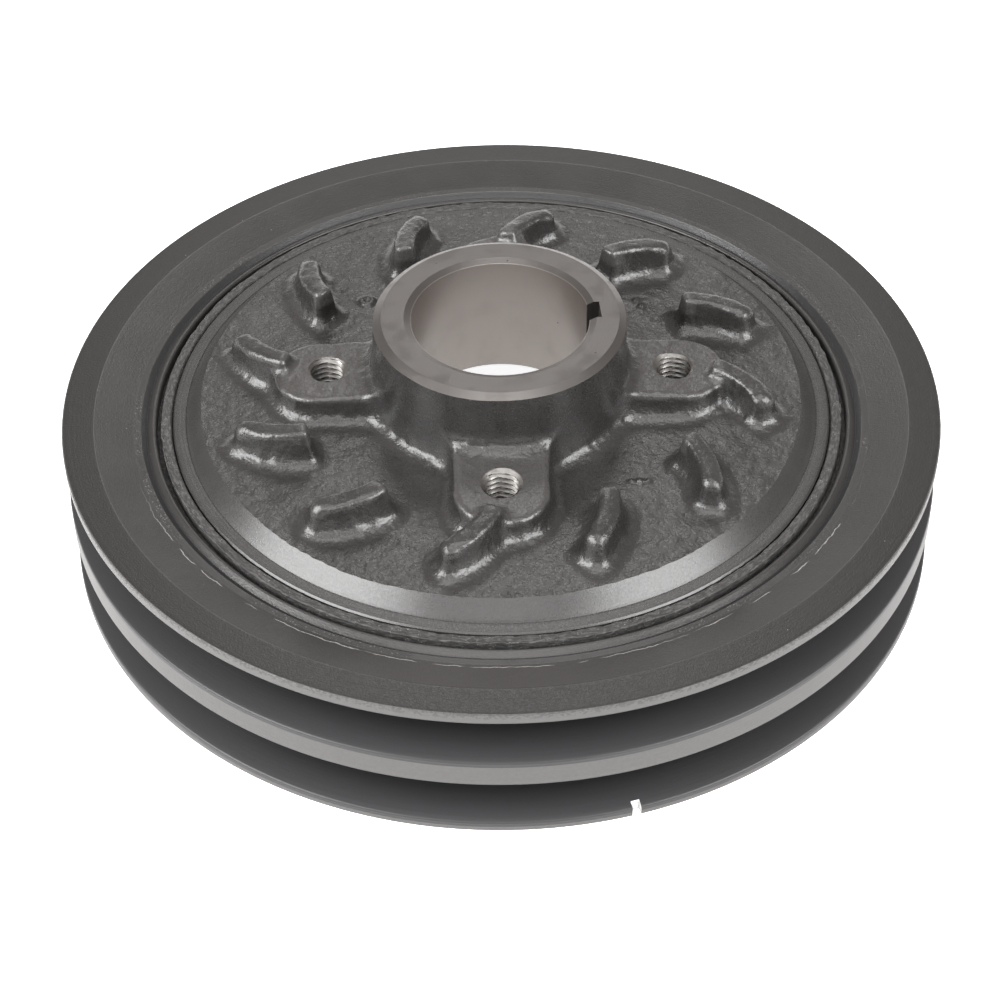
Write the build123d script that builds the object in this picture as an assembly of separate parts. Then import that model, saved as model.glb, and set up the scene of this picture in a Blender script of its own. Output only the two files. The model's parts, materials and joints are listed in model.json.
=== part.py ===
"""Engine crankshaft pulley with a rubber vibration damper.

Three pieces share one axis, +Z, which points to the front of the engine:
the cast hub, the rubber sleeve round its skirt, and the outer ring with two
V grooves.  The origin is on the axis in the plane of the ring's rear face.
"""
from build123d import *

import os
from math import cos, radians, sin, tan

# ---- driving dimensions, mm ------------------------------------------------
# outer ring
RING_R = 90.0                 # outside radius
RING_WIDTH = 32.0             # front face to rear face
RING_BORE_R = 71.0            # wall that the rubber grips
GROOVE_OPENING = 10.8         # width of a V groove at the outside radius
GROOVE_DEPTH = 12.0
GROOVE_ANGLE = 36.0           # between the two flanks
FRONT_FLANGE = 2.45           # width of the flange in front of the first groove
MIDDLE_LAND = 5.85            # width of the land between the grooves
FACE_FLAT_R = 83.5            # the face is flat outside this radius
FACE_LAND_R = 75.6            # and falls to a narrow land inside it
FACE_DISH = 2.0               # how far the land lies behind the face
CHANNEL_R = 74.2              # outer edge of the turned channel in the land
CHANNEL_DEPTH = 1.1
CHANNEL_ROOT_R = 73.0         # its lowest line
CREST_R = 71.8                # round crest between the channel and the rubber
CREST_DROP = 0.4              # how far the crest lies behind the land
SOFT_ROUND = 0.5              # rounding of the channel and the crest
BORE_CHAMFER = 1.0            # at the rear end of the ring's bore
ROOT_ROUND = 0.8              # rounding at the bottom of a groove
LIP_ROUND = 0.45              # rounding of the groove edges
FACE_ROUND = 0.4              # rounding of the ring's outside corners
NOTCH_ANGLE = -73.7           # timing notch, degrees from +X
NOTCH_WIDTH = 2.0
NOTCH_DEPTH = 2.4

# rubber sleeve
RUBBER_IN_R = 67.6            # outside of the hub's skirt
RUBBER_FRONT = 30.2           # height of its front end
RUBBER_REAR = 4.6             # height of its rear end
GAP_WIDTH = 0.9               # open gap between its front end and the ring
GAP_DEPTH = 1.8
GAP_TAPER = 0.1               # how much the gap narrows towards its bottom
RUBBER_BEVEL = (0.35, 0.9)    # of its inner front edge: radial and axial
RUBBER_HOLLOW = 0.8           # how far the middle of its rear end curves in

# hub
BORE_R = 18.0
NOSE_HEIGHT = 52.4            # machined nose face
NOSE_R = 24.0                 # outer edge of the nose face
NOSE_BEVEL = 0.75             # axial length of the bevel round the nose
BORE_BEVEL = (1.4, 0.65)      # of the bore's mouth: radial and axial
REAR_CHAMFER = 0.6            # at the bore's rear end
BARREL_R = 25.4               # barrel, just below the bevel of the nose
BARREL_FOOT_R = 25.9          # barrel, at the web
BARREL_FILLET = 2.2
WEB_TOP = 33.4
WEB_BOTTOM = 25.7
REAR_SEAT = 24.5              # machined seat behind the bore
REAR_SEAT_R = 27.5
SEAT_STEP = 1.2               # how far the seat's edge spreads to the web
SEAT_FILLET = 1.5
WEB_R = 61.5                  # where the cast web meets the turned bevel
LEDGE_R = 64.4                # where the bevel meets the flat ledge
LEDGE_TOP = 30.1
LEDGE_CHAMFER = 0.5
SKIRT_REAR = 4.0
SKIRT_ROUND = 0.8
SKIRT_FILLET = 5.0            # between the skirt and the web's underside
SKIRT_IN_R = 61.6             # inside of the skirt at its rear end
SKIRT_DRAFT = 2.0             # degrees
KEY_ANGLE = 5.0               # keyway, degrees from +X
KEY_WIDTH = 5.0
KEY_DEPTH = 2.3               # beyond the bore's wall

# bosses and their tapped holes
BOSS_COUNT = 4
BOSS_TOP = 38.8
BOSS_WIDTH = 18.4             # at the top
BOSS_REACH = 45.8             # radius of the boss's outer end, at the top
BOSS_CORNER = 8.4
BOSS_DRAFT = 8.0
BOSS_ROUND = 0.9              # rounding of its top edge
BOSS_ROOT_R = 20.4            # radius of its inner end, inside the barrel
THREAD_PCD = 71.0
TAP_R = 3.4                   # M8 x 1.25 tapping hole
THREAD_R = 4.0

# cooling vanes
VANE_COUNT = 12
VANE_TOP = 40.4
VANE_WIDTH = 3.8              # at the top
VANE_DRAFT = 10.0
VANE_IN = (45.2, -2.9)        # radius and angle of the ridge's inner end
VANE_OUT = (53.6, -10.4)      # and of its outer end
VANE_BOW = 0.75               # how far the ridge bows from its chord
VANE_ROUND = 1.2              # rounding of its top edge

CLEAR = 1.0                   # how far a cutter runs past the surface it cuts

# ---- derived ----------------------------------------------------------------
GROOVE_ONE_TOP = RING_WIDTH - FRONT_FLANGE
GROOVE_TWO_TOP = GROOVE_ONE_TOP - GROOVE_OPENING - MIDDLE_LAND
FLANK_RUN = GROOVE_DEPTH * tan(radians(GROOVE_ANGLE / 2))


def polar(radius, angle):
    """Point at a radius and an angle in degrees."""
    return (radius * cos(radians(angle)), radius * sin(radians(angle)))


def turned(outline):
    """Solid of revolution from corners given as (radius, height, rounding)."""
    corners = [(r, 0, z) for r, z, _ in outline]
    path = FilletPolyline(*corners, radius=[c[2] for c in outline], close=True)
    return revolve(make_face(path), Axis.Z)


def around(shape, count):
    """Copies of a shape spread evenly about the axis."""
    return [Rot(0, 0, 360 / count * i) * shape for i in range(count)]


# ---- outer ring ---------------------------------------------------------------
def groove(top):
    """Corners of one V groove, from its front edge to its rear edge."""
    root = RING_R - GROOVE_DEPTH
    return [
        (RING_R, top, LIP_ROUND),
        (root, top - FLANK_RUN, ROOT_ROUND),
        (root, top - GROOVE_OPENING + FLANK_RUN, ROOT_ROUND),
        (RING_R, top - GROOVE_OPENING, LIP_ROUND),
    ]


def pulley_ring():
    land = RING_WIDTH - FACE_DISH
    crest = land - CREST_DROP
    outline = [
        (RING_BORE_R, BORE_CHAMFER, 0),
        (RING_BORE_R, crest, SOFT_ROUND),
        (CREST_R, crest, SOFT_ROUND),
        (CHANNEL_ROOT_R, land - CHANNEL_DEPTH, SOFT_ROUND),
        (CHANNEL_R, land, 0),
        (FACE_LAND_R, land, 0),
        (FACE_FLAT_R, RING_WIDTH, 0),
        (RING_R, RING_WIDTH, FACE_ROUND),
        *groove(GROOVE_ONE_TOP),
        *groove(GROOVE_TWO_TOP),
        (RING_R, 0, FACE_ROUND),
        (RING_BORE_R + BORE_CHAMFER, 0, 0),
    ]
    ring = turned(outline)
    return ring - timing_notch()


def timing_notch():
    """Cutter for the notch through the rear flange, with a round bottom."""
    height = GROOVE_TWO_TOP - GROOVE_OPENING + 2 * CLEAR
    centre = polar(RING_R - NOTCH_DEPTH + NOTCH_WIDTH / 2, NOTCH_ANGLE)
    slot = Box(NOTCH_DEPTH, NOTCH_WIDTH, height, align=(Align.MIN, Align.CENTER, Align.MIN))
    slot += Cylinder(NOTCH_WIDTH / 2, height, align=(Align.CENTER, Align.CENTER, Align.MIN))
    return Pos(*centre, -CLEAR) * Rot(0, 0, NOTCH_ANGLE) * slot


# ---- rubber sleeve --------------------------------------------------------------
def damper_rubber():
    gap_r = RING_BORE_R - GAP_WIDTH
    outline = [
        (RUBBER_IN_R, RUBBER_REAR, 0),
        (RUBBER_IN_R, RUBBER_FRONT - RUBBER_BEVEL[1], 0),
        (RUBBER_IN_R + RUBBER_BEVEL[0], RUBBER_FRONT, 0.25),
        (gap_r, RUBBER_FRONT, 0.3),
        (gap_r + GAP_TAPER, RUBBER_FRONT - GAP_DEPTH, 0.3),
        (RING_BORE_R, RUBBER_FRONT - GAP_DEPTH - 0.3, 0),
        (RING_BORE_R, RUBBER_REAR, 0),
        ((RUBBER_IN_R + RING_BORE_R) / 2, RUBBER_REAR + RUBBER_HOLLOW, 1.0),
    ]
    return turned(outline)


# ---- hub ---------------------------------------------------------------------------
def hub_body():
    """Barrel, web, edge and skirt, turned about the axis."""
    skirt_top_r = SKIRT_IN_R - (WEB_BOTTOM - SKIRT_REAR) * tan(radians(SKIRT_DRAFT))
    outline = [
        (BORE_R, REAR_SEAT + REAR_CHAMFER, 0),
        (BORE_R, NOSE_HEIGHT - BORE_BEVEL[1], 0),
        (BORE_R + BORE_BEVEL[0], NOSE_HEIGHT, 0),
        (NOSE_R, NOSE_HEIGHT, 0),
        (BARREL_R, NOSE_HEIGHT - NOSE_BEVEL, 0.2),
        (BARREL_FOOT_R, WEB_TOP, BARREL_FILLET),
        (WEB_R, WEB_TOP, 0),
        (LEDGE_R, LEDGE_TOP, 0),
        (RUBBER_IN_R - LEDGE_CHAMFER, LEDGE_TOP, 0),
        (RUBBER_IN_R, LEDGE_TOP - LEDGE_CHAMFER, 0),
        (RUBBER_IN_R, SKIRT_REAR, SKIRT_ROUND),
        (SKIRT_IN_R, SKIRT_REAR, SKIRT_ROUND),
        (skirt_top_r, WEB_BOTTOM, SKIRT_FILLET),
        (REAR_SEAT_R + SEAT_STEP, WEB_BOTTOM, SEAT_FILLET),
        (REAR_SEAT_R, REAR_SEAT, 0),
        (BORE_R + REAR_CHAMFER, REAR_SEAT, 0),
    ]
    return turned(outline)


def boss():
    """One boss along +X, as wide at its foot as its draft makes it."""
    height = BOSS_TOP - WEB_TOP
    spread = height * tan(radians(BOSS_DRAFT))
    reach = BOSS_REACH + spread
    half = BOSS_WIDTH / 2 + spread
    corner = BOSS_CORNER + spread
    corners = [(BOSS_ROOT_R, -half), (reach, -half), (reach, half), (BOSS_ROOT_R, half)]
    foot = make_face(FilletPolyline(*corners, radius=[0, corner, corner, 0], close=True))
    return extrude(Pos(0, 0, WEB_TOP) * foot, height, taper=BOSS_DRAFT)


def vane():
    """One slanted vane: a bowed ridge with round ends and drafted sides."""
    height = VANE_TOP - WEB_TOP
    spread = height * tan(radians(VANE_DRAFT))
    start = Vector(*polar(*VANE_IN))
    end = Vector(*polar(*VANE_OUT))
    chord = end - start
    side = Vector(-chord.Y, chord.X) / chord.length
    ridge = ThreePointArc(start, (start + end) / 2 + side * VANE_BOW, end)
    foot = SlotArc(arc=ridge, height=VANE_WIDTH + 2 * spread)
    return extrude(Pos(0, 0, WEB_TOP) * foot, height, taper=VANE_DRAFT)


def tapped_hole():
    """Cutter for one tapped hole, right through its boss and the web."""
    depth = BOSS_TOP - WEB_BOTTOM + 2 * CLEAR
    drill = Cylinder(TAP_R, depth, align=(Align.CENTER, Align.CENTER, Align.MAX))
    countersink = Cone(TAP_R, THREAD_R, THREAD_R - TAP_R, align=(Align.CENTER, Align.CENTER, Align.MAX))
    return Pos(THREAD_PCD / 2, 0, BOSS_TOP) * (Pos(0, 0, CLEAR) * drill + countersink)


def keyway():
    """Cutter for the keyway along the bore."""
    length = NOSE_HEIGHT - REAR_SEAT + 2 * CLEAR
    slot = Box(BORE_R + KEY_DEPTH, KEY_WIDTH, length, align=(Align.MIN, Align.CENTER, Align.MIN))
    return Pos(0, 0, REAR_SEAT - CLEAR) * Rot(0, 0, KEY_ANGLE) * slot


def softened(solid, height, size):
    """The solid with its edges in one level plane rounded."""
    level = [e for e in solid.edges() if abs(e.bounding_box().min.Z - height) < 0.01
             and abs(e.bounding_box().max.Z - height) < 0.01]
    return fillet(level, size)


def hub():
    raised = softened(vane(), VANE_TOP, VANE_ROUND)
    pad = softened(boss(), BOSS_TOP, BOSS_ROUND)
    solid = hub_body()
    solid = solid.fuse(*around(pad, BOSS_COUNT), *around(raised, VANE_COUNT))
    solid = solid.cut(*around(tapped_hole(), BOSS_COUNT))
    return solid - keyway()


PIECES = {
    "hub": hub,
    "damper_rubber": damper_rubber,
    "pulley_ring": pulley_ring,
}

os.makedirs("parts", exist_ok=True)
for name, make in PIECES.items():
    export_step(make(), f"parts/{name}.step")
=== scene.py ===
"""Looks of an engine crankshaft pulley with a rubber vibration damper.

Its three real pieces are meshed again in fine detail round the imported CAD
frame: the cast hub, the rubber sleeve and the grooved ring.  Shapes are worked
out in millimetres and stored in metres.
"""
import json
from math import cos, pi, radians, sin, tan

import bpy
import numpy as np
from mathutils import Matrix, Vector


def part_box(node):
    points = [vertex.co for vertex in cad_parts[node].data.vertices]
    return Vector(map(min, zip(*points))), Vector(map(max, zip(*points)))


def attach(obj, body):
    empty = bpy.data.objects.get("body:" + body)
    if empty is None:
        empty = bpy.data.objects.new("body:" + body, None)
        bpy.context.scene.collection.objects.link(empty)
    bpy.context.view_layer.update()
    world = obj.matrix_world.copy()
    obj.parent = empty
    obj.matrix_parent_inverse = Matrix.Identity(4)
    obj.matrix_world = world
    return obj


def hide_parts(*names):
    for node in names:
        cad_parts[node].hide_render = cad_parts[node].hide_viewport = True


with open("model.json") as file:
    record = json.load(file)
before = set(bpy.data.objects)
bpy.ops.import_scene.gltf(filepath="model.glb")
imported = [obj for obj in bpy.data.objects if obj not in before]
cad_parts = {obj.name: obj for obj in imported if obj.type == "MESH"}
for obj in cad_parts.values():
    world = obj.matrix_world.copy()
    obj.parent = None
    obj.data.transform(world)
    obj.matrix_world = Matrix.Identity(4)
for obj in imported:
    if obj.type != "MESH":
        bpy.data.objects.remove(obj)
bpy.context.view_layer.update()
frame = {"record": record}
MM = 0.001
FULL_TURN = 2 * pi

# ---- sizes from the frame, mm ----------------------------------------------------
MOUNTS = {mount["name"]: mount for mount in frame["record"]["mounts"]}
_, RING_HIGH = (np.array(corner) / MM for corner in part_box("pulley_ring"))
HUB_LOW, HUB_HIGH = (np.array(corner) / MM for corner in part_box("hub"))
RUBBER_LOW, RUBBER_HIGH = (np.array(corner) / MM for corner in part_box("damper_rubber"))
RING_R = RING_HIGH[0]
RING_FACE = RING_HIGH[2]
SKIRT_R = HUB_HIGH[0]
SKIRT_REAR = HUB_LOW[2]
NOSE = HUB_HIGH[2]
RING_BORE_R = RUBBER_HIGH[0]
RUBBER_FRONT = RUBBER_HIGH[2]
RUBBER_REAR = RUBBER_LOW[2]
BORE_R = MOUNTS["crank_bore"]["dims"]["r_mm"]
REAR_SEAT = MOUNTS["rear_seat"]["pos_m"][2] / MM
COUNTERSINK = 0.6             # the bolt mount lies this far below the boss's top
BOSS_TOP = MOUNTS["boss_bolts"]["pos_m"][2] / MM + COUNTERSINK
BOLT_R = MOUNTS["boss_bolts"]["dims"]["pcd_mm"] / 2
BOSS_COUNT = MOUNTS["boss_bolts"]["dims"]["count"]

# ---- sizes of the outer ring, mm ---------------------------------------------------
FRONT_FLANGE = 2.45
GROOVE_OPENING = 10.8
GROOVE_DEPTH = 12.0
GROOVE_ANGLE = 36.0           # degrees between the flanks
MIDDLE_LAND = 5.85
FACE_FLAT_R = 83.5            # the face is flat outside this radius
FACE_LAND_R = 75.6            # and dishes to a narrow land here
FACE_DISH = 2.0
CHANNEL_R = 74.2              # outer edge of a channel by the rubber
CHANNEL_DEPTH = 1.1
CHANNEL_SLOPE = 1.2           # width of the channel's outer wall
CREST_DROP = 0.3              # the ring's inner rim lies this far below the land
CREST_WIDTH = 0.8
GROOVE_STEP = GROOVE_OPENING + MIDDLE_LAND
LIPS = [RING_FACE - FRONT_FLANGE - GROOVE_OPENING - GROOVE_STEP * i for i in (0, 1)]
LIP_PAINT = 0.5               # the grooves' paint reaches this far over their lower lips
REAR_BEVEL = 1.0
NOTCH_ANGLE = -73.9           # degrees from +X
NOTCH_WIDTH = 1.7
NOTCH_DEPTH = 1.5
RING_SEGMENTS = 960

# ---- sizes of the hub, mm --------------------------------------------------------------
NOSE_R = 24.0
BARREL_R = 25.4
BARREL_DRAFT = 1.6            # degrees
WEB_TOP = 33.4
WEB_BOTTOM = 25.7
WEB_R = 61.5                  # the web's edge, where a turned bevel starts
BEVEL_IN = 0.9                # the tool starts to cut this far inside that edge
LEDGE_R = 64.4
LEDGE_TOP = 30.1
FOOT_GROOVE = ((0.25, 0), (0.4, -0.1), (0.6, 0))    # tool mark at the bevel's foot: out and up
SKIRT_BEVEL = (0.35, 0.4)     # across and down
SKIRT_IN_R = 61.6
SKIRT_DRAFT = 0.8             # the skirt's inside narrows by this much towards the web
NOSE_BEVEL = (2.8, 1.5)
BORE_BEVEL = (1.4, 0.65)
NOSE_CUT = 8.0                # length from the nose's end that the lathe reaches
REAR_SEAT_R = 27.5
REAR_SEAT_FOOT = 1.2
SEAT_BEVEL = 0.6
HUB_SEGMENTS = 540
KEY_ANGLE = 5.0               # degrees from +X
KEY_WIDTH = 5.0
KEY_DEPTH = 2.3
BOSS_WIDTH = 18.4
BOSS_REACH = 45.8
BOSS_CORNER = 8.4
BOSS_DRAFT = 8.0              # degrees
BOSS_EDGE = 1.2               # rounding of a boss's upper edge
BOSS_FALL = 0.045             # a boss's top falls outwards by this much per mm
VANE_COUNT = 12
VANE_TOP = 41.0               # at the inner end
VANE_FALL = 0.126
VANE_WIDTH = 3.9
VANE_DRAFT = 9.0              # degrees
VANE_IN = (45.2, -2.9)        # radius and angle of the ridge's inner end
VANE_OUT = (53.6, -10.4)
VANE_BOW = 0.75
VANE_SOFT_END = 2.2           # length of the outer end that is rounder on top
VANE_EDGE = (1.3, 1.0)        # rounding of the upper edge, and how much more at the soft end
VANE_CORNERS = (3.6, 2.6)     # how square the inner and outer ends are; 2 is round
CAST_WANDER = (0.28, 0.28, 0.12)      # how far cast shapes stray from their ideal place
WANDER_LENGTH = 26
RAISED_FILLET = 2.0           # between a boss and its vane
WEB_FILLET = 3.4              # at the foot of bosses and vanes
MARK_FILLET = 0.5
BARREL_FILLET = 4.2           # at the foot of the barrel
MARKS = (                     # kind, radius, angle and size of small marks on the web
    ("ring", 40.7, 134.3, 1.25),
    ("nick", 40.3, 41.8, 0.2),
    ("nick", 40.9, 44.8, 0.3),
    ("nick", 39.6, -46.9, 1.3),
    ("ring", 45.0, -10.6, 0.45),
)
RING_MARK = (0.1, 0.55)       # height above the web and thickness of a ring-shaped mark
NICK_MARK = (0.5, 0.25, 3.2)  # thickness of a nick, its variation and how fast it varies
THREAD_R = 4.0                # of an M8 thread
THREAD_CORE_R = 3.32
THREAD_PITCH = 1.25
THREAD_STEPS = 8              # levels in one pitch
THREAD_SEGMENTS = 36
THREAD_RIDGE = (1.35, 0.12)   # steepness of the thread's flanks, and its flat root
MOUTH_SLOPE = 1.4
MOUTH_WIDTH = (0.1, 0.5)      # how far the mouth is wider than the thread, at the top and at most

CAST_CREASE = 35              # degrees: sharper edges aren't shaded smooth
TURNED_CREASE = 14

PAINTED_CAST, BARE, PAINTED_TURNED, THREAD = range(4)       # the hub's finishes
FACE, LAND, FLANK, FILM, CORNER, WHITE = range(6)           # the ring's finishes


# ---- helpers: noise and meshes ------------------------------------------------------------
def lattice_noise(points, wavelength, seed):
    """Smooth noise from -1 to 1, with lumps about half a wavelength across."""
    period = 64
    table = np.random.default_rng(seed).uniform(-1, 1, (period,) * 3)
    place = points / wavelength
    cell = np.floor(place).astype(int)
    part = place - cell
    part = part * part * part * (part * (part * 6 - 15) + 10)
    total = np.zeros(points.shape[:-1])
    for corner in np.ndindex(2, 2, 2):
        weight = np.where(corner, part, 1 - part).prod(axis=-1)
        index = (cell + corner) % period
        total += weight * table[index[..., 0], index[..., 1], index[..., 2]]
    return total


def polar(radius, angle):
    """Point at a radius and an angle in degrees."""
    return np.array([radius * cos(radians(angle)), radius * sin(radians(angle))])


def turn_matrix(angle):
    """Matrix that turns rows of points about the axis by an angle in degrees."""
    c, s = cos(radians(angle)), sin(radians(angle))
    return np.array([[c, s, 0], [-s, c, 0], [0, 0, 1]])


def make_object(name, points, faces, materials, finish=None):
    """Linked mesh object from points in millimetres, with a finish (material index) for each face."""
    mesh = bpy.data.meshes.new(name)
    mesh.from_pydata((points * MM).tolist(), [], faces if isinstance(faces, list) else faces.tolist())
    for material in materials:
        mesh.materials.append(material)
    if finish is not None:
        mesh.polygons.foreach_set("material_index", finish.astype(np.int32))
    obj = bpy.data.objects.new(name, mesh)
    bpy.context.scene.collection.objects.link(obj)
    return obj


def read(collection, key, width, kind=float):
    """A property of every item as an array, with a row for each item where it is a vector."""
    values = np.zeros(len(collection) * width, kind)
    collection.foreach_get(key, values)
    return values.reshape(-1, width) if width > 1 else values


def shade(mesh, crease):
    """Smooth shading, but for edges sharper than an angle: crease next to a mesh's first finish."""
    edge_of_loop = read(mesh.loops, "edge_index", 1, np.int32)
    face_of_loop = np.repeat(np.arange(len(mesh.polygons)), read(mesh.polygons, "loop_total", 1, np.int32))
    order = np.argsort(edge_of_loop, kind="stable")
    pairs = face_of_loop[order].reshape(-1, 2)
    normals = read(mesh.polygons, "normal", 3)
    finish = read(mesh.polygons, "material_index", 1, np.int32)[pairs]
    bend = np.degrees(np.arccos(np.clip((normals[pairs[:, 0]] * normals[pairs[:, 1]]).sum(1), -1, 1)))
    limit = np.where((finish == 0).any(1), crease, TURNED_CREASE)
    sharp = mesh.attributes.get("sharp_edge") or mesh.attributes.new("sharp_edge", "BOOLEAN", "EDGE")
    sharp.data.foreach_set("value", bend > limit)
    mesh.polygons.foreach_set("use_smooth", np.ones(len(mesh.polygons), bool))
    mesh.update()


def carve(obj, tool, operation):
    """Apply a boolean of two closed meshes that list the same materials, and drop the tool."""
    modifier = obj.modifiers.new(operation, "BOOLEAN")
    modifier.operation = operation
    modifier.solver = "MANIFOLD"
    modifier.material_mode = "INDEX"
    modifier.object = tool
    result = bpy.data.meshes.new_from_object(obj.evaluated_get(bpy.context.evaluated_depsgraph_get()))
    obj.modifiers.clear()
    obj.data = result
    bpy.data.objects.remove(tool)


def rounded_profile(outline, longest, arc_steps=6):
    """Closed profile (radius, height) with its finish, from corners (radius, height, rounding, finish).

    Each corner names the finish of the stretch that follows it.  Stretches are cut so that no
    piece is longer than asked.
    """
    corners = [np.array(corner[:2], float) for corner in outline]
    points = []
    for i, (_, _, rounding, finish) in enumerate(outline):
        here, before, after = corners[i], corners[i - 1], corners[(i + 1) % len(corners)]
        if rounding == 0:
            points.append((here, finish))
            continue
        back = (before - here) / np.linalg.norm(before - here)
        ahead = (after - here) / np.linalg.norm(after - here)
        half = np.arccos(np.clip(back @ ahead, -1, 1)) / 2
        middle = (back + ahead) / np.linalg.norm(back + ahead)
        centre = here + middle * rounding / sin(half)
        start = here + back * rounding / tan(half) - centre
        end = here + ahead * rounding / tan(half) - centre
        for k in range(arc_steps + 1):
            t = k / arc_steps
            spoke = start * (1 - t) + end * t
            points.append((centre + spoke / np.linalg.norm(spoke) * rounding, finish))
    fine = []
    for (here, finish), (after, _) in zip(points, points[1:] + points[:1]):
        pieces = max(1, int(np.ceil(np.linalg.norm(after - here) / longest)))
        fine += [(here + (after - here) * k / pieces, finish) for k in range(pieces)]
    return np.array([p for p, _ in fine]), np.array([f for _, f in fine])


def lathe(profile, finish, segments):
    """Points, faces and face finishes of a closed profile turned about the axis."""
    count = len(profile)
    angle = np.linspace(0, FULL_TURN, segments, endpoint=False)
    radius, height = profile[:, :1], profile[:, 1:]
    points = np.stack([radius * np.cos(angle), radius * np.sin(angle), height + 0 * angle], -1)
    ids = np.arange(count * segments).reshape(count, segments)
    ahead, turned = np.roll(ids, -1, 0), np.roll(ids, -1, 1)
    faces = np.stack([ids, turned, np.roll(ahead, -1, 1), ahead], -1)
    return points.reshape(-1, 3), faces.reshape(-1, 4), np.repeat(finish, segments)


# ---- hub: the cast skin ------------------------------------------------------------------------
def smooth_min(a, b, reach):
    """The lesser of two distances, blended with a fillet about as large as the reach."""
    blend = np.maximum(reach - np.abs(a - b), 0) / reach
    return np.minimum(a, b) - blend * blend * reach / 4


def smooth_max(a, b, reach):
    """The greater of two distances, blended in the same way."""
    return -smooth_min(-a, -b, reach)


def folded(x, y, count, centre):
    """The plan point turned into one of a number of equal sectors, round a centre angle."""
    sector = FULL_TURN / count
    angle = np.arctan2(y, x) - radians(centre)
    angle = (angle + sector / 2) % sector - sector / 2 + radians(centre)
    radius = np.hypot(x, y)
    return radius * np.cos(angle), radius * np.sin(angle)


def boss_distance(x, y, z):
    """Distance to the nearest boss: a drafted pad with round outer corners."""
    u, v = folded(x, y, BOSS_COUNT, 0)
    across = np.abs(v) - BOSS_WIDTH / 2 + BOSS_CORNER
    along = u - BOSS_REACH + BOSS_CORNER
    plan = np.hypot(np.maximum(across, 0), np.maximum(along, 0)) - BOSS_CORNER
    plan += np.minimum(np.maximum(across, along), 0)
    side = (plan - (BOSS_TOP - z) * tan(radians(BOSS_DRAFT))) * cos(radians(BOSS_DRAFT))
    return smooth_max(side, z - BOSS_TOP + BOSS_FALL * (u - BOLT_R), BOSS_EDGE)


def vane_distance(x, y, z):
    """Distance to the nearest vane: a bowed ridge with rounded ends and drafted sides."""
    start, end = polar(*VANE_IN), polar(*VANE_OUT)
    chord = end - start
    half = np.linalg.norm(chord) / 2
    along = chord / (2 * half)
    side = np.array([-along[1], along[0]])
    ridge_r = (half ** 2 + VANE_BOW ** 2) / (2 * VANE_BOW)
    centre = (start + end) / 2 - side * (ridge_r - VANE_BOW)
    reach = np.arcsin(half / ridge_r)
    u, v = folded(x, y, VANE_COUNT, (VANE_IN[1] + VANE_OUT[1]) / 2)
    right, up = u - centre[0], v - centre[1]
    run = ridge_r * np.arctan2(right * along[0] + up * along[1], right * side[0] + up * side[1])
    across = np.abs(np.hypot(right, up) - ridge_r)
    past = np.maximum(np.abs(run) - ridge_r * reach, 0)
    corner = np.where(run < 0, *VANE_CORNERS)
    plan = (past ** corner + across ** corner) ** (1 / corner) - VANE_WIDTH / 2
    wall = (plan - (VANE_TOP - z) * tan(radians(VANE_DRAFT))) * cos(radians(VANE_DRAFT))
    soft = np.clip((run - ridge_r * reach + VANE_SOFT_END) / VANE_SOFT_END, 0, 1)
    top = VANE_TOP - VANE_FALL * (np.hypot(x, y) - VANE_IN[0])
    return smooth_max(wall, z - top, VANE_EDGE[0] + VANE_EDGE[1] * soft)


def mark_distance(x, y, z):
    """Distance to the small marks that the mould left on the web."""
    shapes = []
    for kind, radius, angle, size in MARKS:
        right, up = x - polar(radius, angle)[0], y - polar(radius, angle)[1]
        if kind == "ring":
            lift, thickness = RING_MARK
            shape = np.hypot(np.hypot(right, up) - size, z - WEB_TOP - lift) - thickness
        else:
            thickness, change, rate = NICK_MARK
            lump = thickness + change * np.cos(rate * right)
            shape = np.hypot(np.hypot(np.maximum(np.abs(right) - size, 0), up), z - WEB_TOP) - lump
        shapes.append(shape)
    return np.minimum.reduce(shapes)


def cast_distance(points):
    """Distance from the hub's cast front: web, barrel, bosses and vanes, with cast fillets."""
    wander = np.stack([lattice_noise(points, WANDER_LENGTH, seed) for seed in (1, 2, 3)], -1)
    x, y, z = np.moveaxis(points + wander * CAST_WANDER, -1, 0)
    raised = smooth_min(boss_distance(x, y, z), vane_distance(x, y, z), RAISED_FILLET)
    lower = smooth_min(raised, z - WEB_TOP, WEB_FILLET)
    lower = smooth_min(lower, mark_distance(x, y, z), MARK_FILLET)
    barrel = np.hypot(x, y) - BARREL_R - (NOSE - z) * tan(radians(BARREL_DRAFT))
    return smooth_min(lower, barrel * cos(radians(BARREL_DRAFT)), BARREL_FILLET)


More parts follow.
